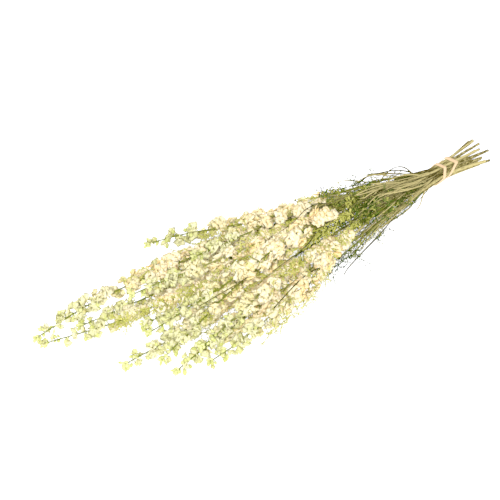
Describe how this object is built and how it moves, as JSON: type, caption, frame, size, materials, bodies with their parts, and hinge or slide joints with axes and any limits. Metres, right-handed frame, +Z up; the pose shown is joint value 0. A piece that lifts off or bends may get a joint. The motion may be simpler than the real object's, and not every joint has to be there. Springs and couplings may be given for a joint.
{
  "type": "dried delphinium bunch",
  "caption": "Tied bunch of dried cream delphinium flower spikes lying down, with budded tips, cut leaves, splayed cut stems and a twice-wound rubber band.",
  "frame": {"origin": "centre of the outline in plan, on the table that the bunch lies on", "axes": "+X along the bunch towards the cut ends, flower tips at -X; +Z up from the table"},
  "size_m": [0.7044, 0.1868, 0.0798],
  "materials": {
    "dried_flower_stem": "matt dried petals, cream with pale green tips, on an olive straw stem",
    "dried_leaf_stem": "matt dried green stem and finely cut leaves",
    "natural_rubber": "satin beige rubber band"
  },
  "bodies": {
    "root": {"flower_stem_01": "dried_flower_stem", "flower_stem_02": "dried_flower_stem", "flower_stem_03": "dried_flower_stem", "flower_stem_04": "dried_flower_stem", "flower_stem_05": "dried_flower_stem", "flower_stem_06": "dried_flower_stem", "flower_stem_07": "dried_flower_stem", "flower_stem_08": "dried_flower_stem", "flower_stem_09": "dried_flower_stem", "flower_stem_10": "dried_flower_stem", "flower_stem_11": "dried_flower_stem", "flower_stem_12": "dried_flower_stem", "flower_stem_13": "dried_flower_stem", "flower_stem_14": "dried_flower_stem", "flower_stem_15": "dried_flower_stem", "leaf_stem_1": "dried_leaf_stem", "leaf_stem_2": "dried_leaf_stem", "leaf_stem_3": "dried_leaf_stem", "leaf_stem_4": "dried_leaf_stem", "leaf_stem_5": "dried_leaf_stem", "leaf_stem_6": "dried_leaf_stem", "leaf_stem_7": "dried_leaf_stem", "leaf_stem_8": "dried_leaf_stem", "leaf_stem_9": "dried_leaf_stem", "rubber_band": "natural_rubber"}
  },
  "joints": []
}
